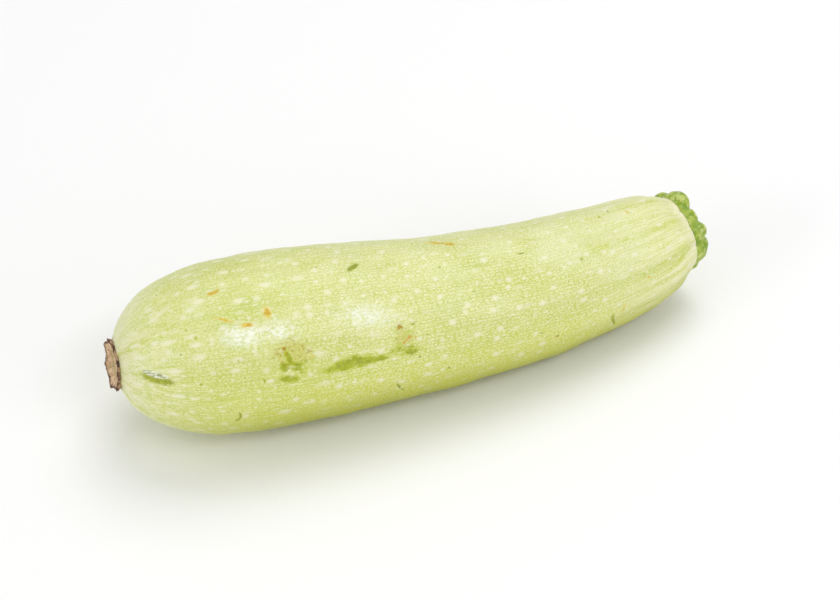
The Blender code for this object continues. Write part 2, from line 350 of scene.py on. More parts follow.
NICKS = (
    (78.8, 95.2, 5.0, 1.5, -33.0, 1.0),
    (88.1, 191.8, 3.8, 0.8, 66.0, 1.0),
    (89.5, 197.0, 1.8, 0.7, 45.0, 0.9),
    (131.3, 104.0, 2.6, 0.6, 0.0, 0.9),
    (94.1, 168.0, 1.0, 0.9, 0.0, 0.9),
    (103.4, 185.0, 1.1, 0.9, 0.0, 0.9),
    (93.0, 142.2, 2.4, 0.7, -15.0, 0.9),
    (39.4, 190.2, 3.2, 0.7, 85.0, 1.0),
    (38.7, 194.8, 2.3, 0.8, 125.0, 1.0),
    (157.6, 192.0, 2.2, 1.0, 70.0, 0.9),
    (158.4, 197.0, 2.8, 0.9, 71.0, 0.9),
    (167.8, 80.8, 2.2, 0.9, 120.0, 0.7),
)
MARKS = {
    "bruise": BRUISES,
    "burn": BURNS,
    "scab": SCABS,
    "rust": RUST,
    "ember": EMBERS,
    "wax_and_highlight": WAX_AND_HIGHLIGHT,
    "streak": GREEN_STREAKS,
    "nick": NICKS,
    "pit": (GOUGE_PIT,),
    "lip": (GOUGE_LIP,),
}
MARK_FALL = 0.7                  # leaves a mark half its strength at its edge
GOUGE_EDGE = (0.2, 0.9)          # the gouge's wall falls between these strengths of its mark
GOUGE_DEPTH = 0.45 * MM
GOUGE_LIP_HEIGHT = 0.30 * MM
CREASE_MARK = (140.2, 133.5, 8.0, 1.2, 96.0, 1.0)
CREASE_MARK_DEPTH = 0.10 * MM
NICK_DEPTH = 0.08 * MM
SCAB_HEIGHT = 0.10 * MM

# Boxes of light: azimuth and elevation as for the camera, distance, width, height and power
LAMPS = {
    "overhead_light": (140.0, 66.0, 1.3, 0.80, 0.80, 5.8),
    "front_light": (24.0, 52.0, 1.3, 0.75, 0.22, 2.6),
    "right_light": (40.0, 20.0, 1.3, 0.70, 0.50, 2.3),
    "left_light": (-70.0, 24.0, 1.3, 0.60, 0.50, 3.6),
}
LAMP_TARGET = Vector((0.0, 0.0, 0.02))
SURROUND_STRENGTH = 0.56
FLOOR_REACH = 6.0
FLOOR_DROP = 0.0001
FLOOR_WHITE = 0.93

# The photograph's view
CAMERA_LENS = 85.0
CAMERA_SENSOR = 36.0
CAMERA_AZIMUTH = np.radians(-16.75)
CAMERA_ELEVATION = np.radians(42.0)
CAMERA_DISTANCE = 0.6089
CAMERA_TARGET = Vector((-0.0006, 0.0, 0.0275))


def ease(low, high, value):
    """Rise smoothly from 0 at low to 1 at high."""
    share = np.clip((value - low) / (high - low), 0.0, 1.0)
    return share * share * (3.0 - 2.0 * share)


def curve_through(points, knots, at):
    """A smooth curve that passes each point at its knot, read at the given values."""
    points = np.asarray(points, dtype=float)
    slopes = np.gradient(points, knots, axis=0)
    piece = np.clip(np.searchsorted(knots, at, side="right") - 1, 0, len(knots) - 2)
    step = (knots[piece + 1] - knots[piece])[:, None]
    share = (at - knots[piece])[:, None] / step
    rise = share * share * (3.0 - 2.0 * share)
    leave = share * (1.0 - share) ** 2 * step * slopes[piece]
    arrive = share * share * (share - 1.0) * step * slopes[piece + 1]
    return points[piece] * (1.0 - rise) + points[piece + 1] * rise + leave + arrive


def along(points, count):
    """The given number of points, evenly spaced along the smooth curve through a few."""
    gaps = np.linalg.norm(np.diff(np.asarray(points), axis=0), axis=1)
    knots = np.concatenate([[0.0], np.cumsum(gaps)])
    return curve_through(points, knots, np.linspace(0.0, knots[-1], count))


def centre_line(share):
    """Places and the forward, side and up directions of the centre line, at shares of its length."""
    fine = np.linspace(0.0, 1.0, LINE_STEPS + 1)
    fine_turn = BEND * ease(BEND_FROM, 1.0, fine)
    middle_turn = (fine_turn[1:] + fine_turn[:-1]) / 2.0
    run_x = np.concatenate([[0.0], np.cumsum(np.cos(middle_turn))]) / LINE_STEPS
    run_y = np.concatenate([[0.0], np.cumsum(np.sin(middle_turn))]) / LINE_STEPS
    level = FRUIT_LENGTH * np.cos(FALL)
    place = np.stack([
        START_X + level * np.interp(share, fine, run_x),
        START_Y + level * np.interp(share, fine, run_y),
        START_HEIGHT - FRUIT_LENGTH * np.sin(FALL) * share + NECK_LIFT * ease(NECK_FROM, 1.0, share),
    ], axis=-1)
    turn = BEND * ease(BEND_FROM, 1.0, share)
    flat = np.zeros_like(turn)
    ahead, aside = np.cos(turn), np.sin(turn)
    forward = np.stack([ahead * np.cos(FALL), aside * np.cos(FALL), flat - np.sin(FALL)], axis=-1)
    side = np.stack([-aside, ahead, flat], axis=-1)
    return place, forward, side, np.cross(forward, side)


def angle_between(first, second):
    """The turn from the second angle to the first, between minus and plus half a turn."""
    return (first - second + np.pi) % FULL_TURN - np.pi


def near(angle, middle, width):
    """1 at an angle, falling smoothly to 0 on either side of it."""
    return np.exp(-(angle_between(angle, middle) / width) ** 2)


def lobe_edges():
    """The angle of the groove before each lobe, and of the last one's end."""
    widths = np.radians([lobe[0] for lobe in LOBES])
    return np.radians(FIRST_LOBE) + np.concatenate([[0.0], np.cumsum(widths)])


def furrows(angle, width):
    """1 in line with each of the stem's grooves, falling to 0 between them."""
    return sum(near(angle, groove, width) for groove in lobe_edges()[:-1])


def pleats(angle):
    """1 in each pleat round the blossom end, falling to 0 between them."""
    return 0.5 + 0.5 * np.cos(BLOSSOM_PLEATS * angle + BLOSSOM_PLEATS_DRIFT * np.sin(2.0 * angle))


def fruit_relief(angle, share):
    """How far the skin stands off its plain round, at angles round and shares along the fruit."""
    sides = SIDE_DEPTH * np.cos(SIDES * angle) * ease(*SIDES_GROW, share)
    grooves = STEM_FURROW_DEPTH * furrows(angle, FURROW_WIDTH) * ease(*STEM_FURROWS, share)
    folds = BLOSSOM_PLEAT_DEPTH * pleats(angle) * (1.0 - ease(*BLOSSOM_PLEATS_FADE, share))
    return sides - grooves - folds


def lobe_shape(angle):
    """How far each angle stands up its lobe, 0 in a groove and 1 on a full ridge, and its length."""
    edges = lobe_edges()
    turned = (angle - edges[0]) % FULL_TURN + edges[0]
    lobe = np.clip(np.searchsorted(edges, turned, side="right") - 1, 0, len(LOBES) - 1)
    across = 2.0 * (turned - edges[lobe]) / (edges[lobe + 1] - edges[lobe]) - 1.0
    bump = (1.0 - np.abs(across) ** LOBE_ROUNDNESS) ** (1.0 / LOBE_ROUNDNESS)
    relief = np.array([size[1] for size in LOBES])[lobe]
    middles = (edges[1:] + edges[:-1]) / 2.0
    length = np.interp(angle, middles, [size[2] for size in LOBES], period=FULL_TURN)
    return bump * relief, length


def stem_rings(rings, angle):
    """Rings of height and radius from the stem's foot to the middle of its cut face."""
    knots = np.linspace(0.0, 1.0, len(STEM_RIDGE))
    at = np.linspace(0.0, 1.0, rings)
    ridge = curve_through(STEM_RIDGE, knots, at)[:, None]
    groove = curve_through(STEM_GROOVE, knots, at)[:, None]
    stand, length = lobe_shape(angle)
    section = groove + (ridge - groove) * stand[None, :, None]
    reach = ease(0.0, STEM_RIDGE[-4][1], ridge[..., 1])
    return section[..., 0] * (1.0 + reach * (length[None, :] - 1.0)), section[..., 1]


def waves(angle, parts):
    """The sum of a few waves round a rim."""
    return sum(size * np.sin(count * angle + start) for count, size, start in parts)


def scar_rings(rings, angle):
    """Rings of height and radius from the scar's foot over its torn rim to the middle of its face."""
    profile = along(SCAR_PROFILE, rings)
    rim = ease(SCAR_INNER_RADIUS, SCAR_PROFILE[0][1], profile[:, 1])[:, None]
    tip = near(angle, SCAR_TIP_ANGLE, SCAR_TIP_WIDTH)
    bite = SCAR_BITE * near(angle, SCAR_BITE_ANGLE, SCAR_BITE_WIDTH)
    slant = 1.0 - SCAR_SLANT * np.cos(angle - SCAR_SLANT_TOWARDS)
    height = profile[:, 0, None] * (slant - bite) * (1.0 + waves(angle, SCAR_HEIGHT_WAVES) * rim)
    radius = profile[:, 1, None] * (1.0 + (waves(angle, SCAR_OUTLINE_WAVES) - bite) * rim)
    lifted = ease(0.0, SCAR_PROFILE[3][0], profile[:, 0])[:, None]
    return height, radius + SCAR_TIP_LENGTH * tip * rim * lifted


def stand_on(share, outward, lean, height, radius, angle):
    """Points of an end piece that stands on the fruit's end face, outward along the centre line."""
    place, forward, side, up = (row[0] for row in centre_line(np.array([share])))
    across = np.cos(angle)[None, :, None] * side + np.sin(angle)[None, :, None] * up
    reach = outward * forward + lean * up
    return place - outward * forward * SEAT + reach * height[..., None] + radius[..., None] * across


def unevenness(place, seed, shortest, longest, count):
    """A gentle random relief with a spread of 1: a sum of waves that run all ways."""
    draw = np.random.default_rng(seed)
    total = np.zeros(place.shape[:-1])
    for _ in range(count):
        direction = draw.normal(size=3)
        direction /= np.linalg.norm(direction)
        wave = draw.uniform(shortest, longest)
        total += np.sin(place @ direction * (FULL_TURN / wave) + draw.uniform(0.0, FULL_TURN))
    return total * np.sqrt(2.0 / count)


def mark(travel, angle, radius, row):
    """How strongly each point is inside one mark: its strength at the middle, fading outwards."""
    middle, degrees, length, width, turn, strength = row
    forth = travel / MM - middle
    round_it = angle_between(angle, np.radians(degrees)) * radius / MM
    turned = np.radians(turn)
    lengthwise = (forth * np.cos(turned) + round_it * np.sin(turned)) / (length / 2.0)
    crosswise = (round_it * np.cos(turned) - forth * np.sin(turned)) / (width / 2.0)
    return strength * np.exp(-MARK_FALL * (lengthwise ** 2 + crosswise ** 2))


def marks(travel, angle, radius, rows):
    """The strongest of several marks at each point."""
    return np.max([mark(travel, angle, radius, row) for row in rows], axis=0)


def grid_body(name, rings, finish, attributes):
    """One closed object from rings of points, with a smooth value or place stored at each point."""
    count, around = rings.shape[:2]
    here = np.arange(count * around).reshape(count, around)
    low = here[:-1]
    high = here[1:]
    quads = np.stack([low, np.roll(low, -1, axis=1), np.roll(high, -1, axis=1), high], axis=-1)
    faces = quads.reshape(-1, 4).tolist() + [here[0][::-1].tolist(), here[-1].tolist()]
    mesh = bpy.data.meshes.new(name)
    mesh.from_pydata(rings.reshape(-1, 3).tolist(), [], faces)
    mesh.shade_smooth()
    mesh.set_sharp_from_angle(angle=CREASE)
    for key, values in attributes.items():
        size = "FLOAT_VECTOR" if values.ndim == 3 else "FLOAT"
        layer = mesh.attributes.new(key, size, "POINT")
        field = "vector" if values.ndim == 3 else "value"
        layer.data.foreach_set(field, values.astype(np.float32).ravel())
    mesh.materials.append(finish)
    body = bpy.data.objects.new(name, mesh)
    bpy.context.scene.collection.objects.link(body)
    return body


def skin_sheet(travel, turn):
    """Places on the skin laid out flat: along it, and round it from where the turn is 0, in mm."""
    return np.stack([travel / MM, UNROLLED_RADIUS * turn, 0.0 * travel], axis=-1)


def skin_regions(angle, share):
    """How far each point of the skin is inside the regions where its look changes."""
    down = np.abs(angle_between(angle, DOWN))
    low = ease(*UNDERSIDE_FROM, share)
    furrow = furrows(angle, FURROW_TINT_WIDTH) * ease(*FURROW_TINT_FROM, share)
    bloom_and_sheen = 1.0 - ease(*BLOOM_AND_SHEEN, np.abs(angle_between(angle, BLOOM_AND_SHEEN_MIDDLE)))
    return {
        "below": 1.0 - ease(*SHEET_JOIN, down),
        # The underside and low side carry painted shade and bounce light, partly the yellower ground
        # spot
        "shaded_underside": (1.0 - ease(*UNDERSIDE, down)) * low,
        "low": (1.0 - ease(*LOW_SIDE, down)) * low,
        # Painted sheen on the top, partly a whitish waxy film
        "bloom_and_sheen": bloom_and_sheen * (0.5 + 0.5 * ease(*BLOOM_AND_SHEEN_GROWS, share)),
        "by_scar": 1.0 - ease(*BY_SCAR_END, share),
        "nose": 1.0 - ease(*NOSE_END, share),
        "blossom_half": 1.0 - ease(*BLOSSOM_HALF_END, share),
        "furrow": furrow * (1.0 - ease(*FURROW_TINT_END, share)),
        "neck": ease(*NECK_SKIN_FROM, share),
        "collar": ease(*COLLAR_SKIN_FROM, share),
    }


def make_fruit():
    """The fruit's skin with its lumps, fine ribs, gouge, nicks and scabs."""
    profile = along(GIRTH, FRUIT_RINGS)
    steps = np.linalg.norm(np.diff(profile, axis=0), axis=1)
    travel, share, radius, angle = np.broadcast_arrays(
        np.concatenate([[0.0], np.cumsum(steps)])[:, None],
        profile[:, 0, None] / FRUIT_LENGTH,
        profile[:, 1, None],
        np.linspace(0.0, FULL_TURN, FRUIT_SIDES, endpoint=False),
    )
    tube = UNROLLED_RADIUS * MM
    unrolled = np.stack([travel, tube * np.cos(angle), tube * np.sin(angle)], axis=-1)

    relief = fruit_relief(angle, share)
    for seed, (size, shortest, longest, count, stretch) in enumerate((LUMPS, RIBS, GRAIN)):
        squeezed = unrolled * np.array([1.0 / stretch, 1.0, 1.0])
        relief = relief + size * unevenness(squeezed, seed, shortest, longest, count)
    marked = {name: marks(travel, angle, radius, rows) for name, rows in MARKS.items()}
    crease = mark(travel, angle, radius, CREASE_MARK)
    relief = relief - GOUGE_DEPTH * ease(*GOUGE_EDGE, marked["pit"]) + GOUGE_LIP_HEIGHT * marked["lip"]
    relief = relief + SCAB_HEIGHT * marked["scab"] - NICK_DEPTH * marked["nick"]
    relief = relief - CREASE_MARK_DEPTH * crease

    around = angle[0]
    foot = STEM_GROOVE[0][1] + (STEM_RIDGE[0][1] - STEM_GROOVE[0][1]) * lobe_shape(around)[0]
    foot = foot * np.minimum(stem_push(around), 1.0 + COLLAR_RISE) + COLLAR
    relief = relief + (foot - (radius + relief)[-1:]) * ease(*COLLAR_FROM, share)

    place, _, side, up = centre_line(share[:, 0])
    across = np.cos(angle)[..., None] * side[:, None] + np.sin(angle)[..., None] * up[:, None]
    skin = place[:, None] + (radius + relief)[..., None] * across
    skin[..., 2] = np.maximum(skin[..., 2], 0.0)
    attributes = {
        "unrolled": unrolled / MM,
        "sheet_above": skin_sheet(travel, np.mod(angle - DOWN, FULL_TURN)),
        "sheet_below": skin_sheet(travel, np.mod(angle + DOWN, FULL_TURN)),
        **skin_regions(angle, share),
        **marked,
    }
    return grid_body("fruit_skin", skin, skin_finish(), attributes)


def softened(values, times):
    """Values round a ring, each drawn towards its neighbours a few times."""
    for _ in range(times):
        values = (np.roll(values, 1, axis=-1) + 2.0 * values + np.roll(values, -1, axis=-1)) / 4.0
    return values


def stem_push(angle):
    """How many times as wide as the CAD source's the stem is at each angle, so that it stands high."""
    return 1.0 + STEM_RISE * np.cos(angle - STEM_RISE_TOWARDS)


def make_stem():
    """The cut stem: green knuckled lobes round a sunken, fibrous cut face."""
    edges = lobe_edges()
    steps = np.arange(STEM_SIDES_A_LOBE) / STEM_SIDES_A_LOBE
    angle = (edges[:-1, None] + np.diff(edges)[:, None] * steps).ravel()
    height, radius = stem_rings(STEM_RINGS, angle)
    stand = softened(lobe_shape(angle)[0], STEM_SOFTENED)
    radius = softened(radius, STEM_SOFTENED)
    radius = radius * stem_push(angle)
    height = softened(height, STEM_SOFTENED)
    plain = stand_on(*AT_STEM, height, radius, angle)
    outside = ease(*STEM_FACE, radius)
    radius = radius + outside * STEM_LUMPS[0] * unevenness(plain, STEM_LUMPS_SEED, *STEM_LUMPS[1:])
    stretched = plain * np.array([STEM_FIBRE_STRETCH, 1.0, 1.0])
    fibres = STEM_FIBRES[0] * unevenness(stretched, STEM_FIBRES_SEED, *STEM_FIBRES[1:])
    height = height + (1.0 - outside) * fibres
    skin = stand_on(*AT_STEM, height, radius, angle)[:-1]
    attributes = {
        "lobe": np.broadcast_to(stand, radius[:-1].shape),
        "face": 1.0 - outside[:-1],
        "from_middle": radius[:-1] / MM,
    }
    return grid_body("stem_knuckles", skin, stem_finish(), attributes)


def make_scar():
    """The corky scar of the flower, a dry dish with a torn rim."""
    angle = np.linspace(0.0, FULL_TURN, SCAR_SIDES, endpoint=False)
    height, radius = scar_rings(SCAR_RINGS, angle)
    plain = stand_on(*AT_SCAR, height, radius, angle)
    at = np.broadcast_to(np.linspace(0.0, 1.0, SCAR_RINGS)[:, None], radius.shape)
    past_rim = at - np.argmax(along(SCAR_PROFILE, SCAR_RINGS)[:, 0]) / (SCAR_RINGS - 1.0)
    trim = SCAR_TRIM * sum(near(angle, middle, SCAR_TRIM_WIDTH) for middle in SCAR_TRIM_ANGLES)
    raised = SCAR_RAISE * near(angle, SCAR_RAISE_ANGLE, SCAR_RAISE_WIDTH)
    torn = SCAR_TEARS[0] * unevenness(plain, SCAR_TEARS_SEED, *SCAR_TEARS[1:])
    crumbs = SCAR_CRUMBS[0] * unevenness(plain, SCAR_CRUMBS_SEED, *SCAR_CRUMBS[1:])
    free = ease(0.0, SCAR_PROFILE[1][0], height)
    reach = ease(SCAR_INNER_RADIUS, SCAR_PROFILE[0][1], radius)
    radius = radius * (1.0 - trim * reach) + free * reach * (torn + crumbs)
    least = SCAR_LEAST * ease(0.0, SCAR_FACE_STEP, past_rim)
    height = np.maximum(height + free * raised * reach, least)
    height = height + free * (SCAR_TORN_HEIGHT * torn + crumbs)
    skin = stand_on(*AT_SCAR, height, radius, angle)[:-1]
    attributes = {
        "from_middle": radius[:-1] / MM,
        "wall": 1.0 - ease(*SCAR_WALL_END, past_rim)[:-1],
        "rim": np.exp(-(past_rim / SCAR_RIM_WIDTH) ** 2)[:-1],
    }
    return grid_body("scar_cork", skin, cork_finish(), attributes)


def linear(red, green, blue):
    """A colour given as 0 to 255 on screen, as the shader wants it."""
    shares = np.array([red, green, blue]) / 255.0
    made = np.where(shares <= 0.04045, shares / 12.92, ((shares + 0.055) / 1.055) ** 2.4)
    return (*made.tolist(), 1.0)


class Recipe:
    """One material's nodes, added by short calls.

    A pattern's size is in the unit of its place: mm for the skin, metres for the stem and the scar.
    """

    def __init__(self, name):
        self.finish = bpy.data.materials.new(name)
        self.finish.use_nodes = True
        self.tree = self.finish.node_tree
        self.surface = self.tree.nodes["Principled BSDF"]

    def put(self, socket, value):
        if isinstance(value, bpy.types.NodeSocket):
            self.tree.links.new(value, socket)
        else:
            socket.default_value = value

    def show(self, socket, value):
        """Set or link one input of the surface."""
        self.put(self.surface.inputs[socket], value)

    def node(self, kind, inputs, **settings):
        made = self.tree.nodes.new(kind)
        for name, value in settings.items():
            setattr(made, name, value)
        for name, value in inputs.items():
            self.put(made.inputs[name], value)
        return made

    def attribute(self, name, output="Fac"):
        return self.node("ShaderNodeAttribute", {}, attribute_name=name).outputs[output]

    def math(self, operation, first, second=0.0):
        return self.node("ShaderNodeMath", {0: first, 1: second}, operation=operation).outputs[0]

    def times(self, first, second):
        return self.math("MULTIPLY", first, second)

    def plus(self, first, second):
        return self.math("ADD", first, second)

    def minus(self, first, second):
        return self.math("SUBTRACT", first, second)

    def most(self, first, second):
        return self.math("MAXIMUM", first, second)

    def rise(self, value, low, high, to_low=0.0, to_high=1.0):
        """Goes smoothly from to_low to to_high as the value goes from low to high."""
        made = self.node("ShaderNodeMapRange", {
            "Value": value, "From Min": low, "From Max": high, "To Min": to_low, "To Max": to_high,
        }, interpolation_type="SMOOTHSTEP")
        return made.outputs["Result"]

    def mix(self, share, first, second):
        made = self.node("ShaderNodeMix", {}, data_type="RGBA")
        self.put(made.inputs[0], share)
        self.put(made.inputs[6], first)
        self.put(made.inputs[7], second)
        return made.outputs[2]

    def stretched(self, place, along_it, across=1.0):
        """Places scaled along the fruit, so that a share below 1 draws a pattern out."""
        scale = (along_it, across, 1.0)
        return self.node("ShaderNodeVectorMath", {0: place, 1: scale}, operation="MULTIPLY").outputs[0]

    def noise(self, place, size, detail=2.0, roughness=0.5, distortion=0.0):
        made = self.node("ShaderNodeTexNoise", {
            "Vector": place, "Scale": 1.0 / size, "Detail": detail, "Roughness": roughness,
            "Distortion": distortion,
        })
        return made.outputs["Fac"]

    def cells(self, place, size, randomness=1.0, flat=True):
        """The distance, in cells, to the nearest of points scattered about one to a cell."""
        made = self.node("ShaderNodeTexVoronoi", {
            "Vector": place, "Scale": 1.0 / size, "Randomness": randomness,
        }, voronoi_dimensions="2D" if flat else "3D")
        return made.outputs["Distance"]

    def spots(self, sheet, size, edge, core):
        """Soft round spots of uneven sizes, about one to a cell."""
        made = self.node("ShaderNodeTexVoronoi", {
            "Vector": sheet, "Scale": 1.0 / size, "Randomness": 1.0,
        }, voronoi_dimensions="2D")
        draw = self.node("ShaderNodeSeparateColor", {"Color": made.outputs["Color"]}).outputs[0]
        wobble = self.noise(sheet, size / 6.0, 2.0)
        reach = self.math("DIVIDE", made.outputs["Distance"], self.rise(draw, 0.0, 1.0, 0.45, 1.25))
        reach = self.plus(reach, self.times(self.minus(wobble, 0.5), 0.05))
        return self.rise(reach, edge, core)

    def rows(self, sheet, width, stretch, pitch):
        """Small separate specks that line up in wandering lengthwise rows."""
        speck = self.rise(self.cells(self.stretched(sheet, stretch), width, 0.9), 0.56, 0.12)
        across = self.node("ShaderNodeSeparateXYZ", {"Vector": sheet}).outputs["Y"]
        wander = self.noise(self.stretched(sheet, 0.08, 0.6), 2.0, 2.0)
        turn = self.plus(self.times(across, FULL_TURN / pitch), self.times(wander, 16.0))
        return self.times(speck, self.rise(self.math("SINE", turn), -0.5, 0.5, 0.30, 1.0))

    def both_sheets(self, pattern):
        """A flat pattern laid round the fruit twice, so that neither join shows."""
        upper = pattern(self.attribute("sheet_above", "Vector"))
        lower = pattern(self.attribute("sheet_below", "Vector"))
        share = self.attribute("below")
        return self.plus(self.times(upper, self.minus(1.0, share)),
                         self.times(lower, share))

    def bump(self, height, strength, distance):
        inputs = {"Height": height, "Strength": strength, "Distance": distance}
        return self.node("ShaderNodeBump", inputs).outputs["Normal"]


def skin_ground(make, place):
    """The skin's green between its specks, silky by the stem, blotched by the scar, yellower low down
    with painted shade and bounce light, and milky on top with painted sheen.
    """
    threads = make.noise(make.stretched(place, 0.06), 0.75, 3.0, 0.55)
    streaks = make.noise(make.stretched(place, 0.16), 2.6, 3.0, 0.6)
    broad = make.noise(place, 30.0, 2.0)
    cloudy = make.noise(make.stretched(place, 0.7), 12.0, 3.0, 0.6)
    ground = make.mix(make.rise(broad, 0.35, 0.65), linear(196, 203, 98), linear(206, 211, 119))
    ground = make.mix(make.rise(streaks, 0.46, 0.70, 0.0, 0.8), ground, linear(187, 198, 80))
    yellowed = make.rise(make.noise(make.stretched(place, 0.5), 9.0, 3.0, 0.6), 0.52, 0.72, 0.0, 0.5)
    ground = make.mix(yellowed, ground, linear(214, 214, 122))
    # Painted shade and bounce light, partly the yellower ground spot: the lower side is mixed more
    # yellow-green
    ground = make.mix(make.times(make.attribute("low"), 0.85), ground, linear(210, 211, 74))

    silk = make.mix(make.rise(threads, 0.40, 0.60), linear(213, 218, 128), linear(240, 238, 200))
    ground = make.mix(make.times(make.attribute("neck"), 0.85), ground, silk)
    furrow = make.times(make.attribute("furrow"), make.rise(threads, 0.62, 0.42, 0.45, 1.0))
    ground = make.mix(make.times(furrow, 0.55), ground, linear(193, 202, 74))

    blotch = make.noise(make.stretched(place, 0.55), 1.6, 3.0, 0.62, 0.2)
    patches = make.mix(make.rise(blotch, 0.36, 0.64), linear(201, 211, 106), linear(228, 228, 174))
    ground = make.mix(make.times(make.attribute("nose"), 0.9), ground, patches)
    by_scar = make.times(make.attribute("by_scar"), make.rise(blotch, 0.34, 0.56, 0.25, 0.95))
    ground = make.mix(by_scar, ground, linear(232, 228, 194))
    streak = make.times(make.attribute("streak"), make.rise(blotch, 0.62, 0.42, 0.45, 1.0))
    ground = make.mix(make.times(streak, 0.9), ground, linear(190, 201, 58))
    lines = make.noise(make.stretched(place, 0.10), 0.85, 3.0, 0.6)
    near_blossom = make.attribute("blossom_half")
    lines = make.times(make.rise(lines, 0.50, 0.66), make.rise(near_blossom, 0.2, 1.0, 0.0, 0.5))
    ground = make.mix(lines, ground, linear(184, 197, 76))

    # Painted sheen, partly a whitish waxy film: the top side is mixed paler and milkier
    bloom_and_sheen = make.times(make.attribute("bloom_and_sheen"), make.rise(cloudy, 0.34, 0.66, 0.1, 0.7))
    bloom_and_sheen = make.times(bloom_and_sheen, make.rise(make.attribute("neck"), 0.3, 0.9, 1.0, 0.6))
    ground = make.mix(bloom_and_sheen, ground, linear(224, 228, 174))
    grain = make.noise(make.stretched(place, 0.7), 0.42, 2.0, 0.6)
    ground = make.mix(make.rise(grain, 0.50, 0.30, 0.0, 0.5), ground, linear(176, 190, 84))
    return make.mix(make.rise(grain, 0.52, 0.70, 0.0, 0.35), ground, linear(234, 237, 190))


def skin_specks(make, place):
    """How strongly the rows of fine light specks show, and the scattered cream spots."""
    fine = make.both_sheets(lambda sheet: make.rows(sheet, SPECK_WIDTH, SPECK_STRETCH, SPECK_ROW))
    uneven = make.noise(place, 4.0, 3.0, 0.6)
    fine = make.times(fine, make.rise(uneven, 0.30, 0.60, 0.55, 1.0))
    fine = make.times(fine, make.rise(make.attribute("neck"), 0.5, 1.0, 1.0, 0.6))
    fine = make.times(fine, make.rise(make.attribute("blossom_half"), 0.0, 1.0, 1.0, 0.68))
    round_spots = make.both_sheets(lambda sheet: make.spots(make.stretched(sheet, 0.8), 5.6, 0.20, 0.04))
    dashes = make.both_sheets(lambda sheet: make.spots(make.stretched(sheet, 0.36), 4.2, 0.21, 0.03))
    long_spots = make.both_sheets(lambda sheet: make.spots(make.stretched(sheet, 0.44), 4.8, 0.24, 0.05))
    blossom_half = make.attribute("blossom_half")
    round_spots = make.times(round_spots, make.rise(blossom_half, 0.2, 1.0, 0.85, 0.6))
    long_spots = make.times(long_spots, make.rise(blossom_half, 0.1, 0.9, 0.0, 0.78))
    spot = make.most(round_spots, make.times(dashes, 0.42))
    return fine, make.most(spot, long_spots)


def skin_marks(make, place, colour, light):
    """Olive bruises, brown burns, golden scabs, freckles and the gouge, laid over a colour."""
    ragged = make.noise(place, 1.5, 4.0, 0.65)
    feathery = make.noise(make.stretched(place, 0.6), 0.85, 4.0, 0.7)
    dust = make.noise(place, 0.8, 3.0, 0.6)
    freckle = make.both_sheets(lambda sheet: make.spots(sheet, 15.0, 0.032, 0.012))
    freckle = make.times(freckle, make.rise(make.attribute("neck"), 0.1, 0.6, 0.7, 0.2))
    freckle = make.times(freckle, make.rise(make.attribute("wax_and_highlight"), 0.05, 0.4, 1.0, 0.0))
    colour = make.mix(freckle, colour, linear(152, 170, 34))

    burn = make.attribute("burn")
    halo = make.rise(make.plus(burn, ragged), 0.72, 1.35, 0.0, 0.55)
    colour = make.mix(halo, colour, linear(196, 192, 84))
    bruised = make.plus(make.attribute("bruise"), make.times(feathery, 1.2))
    tinge = make.times(make.rise(bruised, 0.92, 1.12), make.rise(light, 0.3, 1.0, 0.75, 0.4))
    colour = make.mix(tinge, colour, linear(184, 196, 58))
    core = make.times(make.rise(bruised, 1.14, 1.34), make.rise(light, 0.3, 1.0, 0.95, 0.55))
    olive = make.mix(make.rise(ragged, 0.4, 0.6), linear(166, 177, 14), linear(146, 158, 4))
    colour = make.mix(core, colour, olive)
    burnt = make.times(make.rise(burn, 0.15, 0.7), make.rise(dust, 0.53, 0.68))
    colour = make.mix(make.times(burnt, 0.8), colour, linear(166, 142, 20))
    nick = make.rise(make.plus(make.attribute("nick"), make.times(feathery, 0.5)), 0.62, 0.90)
    colour = make.mix(nick, colour, linear(142, 152, 10))

    scab = make.plus(make.attribute("scab"), make.times(feathery, 0.9))
    colour = make.mix(make.rise(scab, 0.50, 1.0, 0.0, 0.5), colour, linear(220, 204, 104))
    scab = make.rise(scab, 0.84, 1.20)
    golden = make.mix(make.rise(ragged, 0.4, 0.62), linear(220, 192, 66), linear(198, 160, 40))
    colour = make.mix(make.times(scab, 0.95), colour, golden)
    rust = make.rise(make.plus(make.attribute("rust"), make.times(feathery, 0.6)), 0.70, 1.05)
    colour = make.mix(make.times(rust, 0.95), colour, linear(168, 140, 8))
    ember = make.rise(make.plus(make.attribute("ember"), make.times(feathery, 0.8)), 0.85, 1.15)
    colour = make.mix(make.times(ember, 0.9), colour, linear(206, 154, 44))

    pit = make.rise(make.plus(make.attribute("pit"), make.times(feathery, 0.5)), 0.50, 0.85)
    raw = make.mix(make.rise(feathery, 0.35, 0.6), linear(176, 184, 56), linear(148, 156, 30))
    colour = make.mix(pit, colour, raw)
    lip = make.rise(make.plus(make.attribute("lip"), make.times(feathery, 0.9)), 0.80, 1.12)
    # The lifted flap is whitish, with painted shade in grey patches
    flap_and_shade = make.mix(make.rise(feathery, 0.42, 0.58), linear(148, 156, 96), linear(230, 231, 206))
    colour = make.mix(lip, colour, flap_and_shade)
    return colour, scab


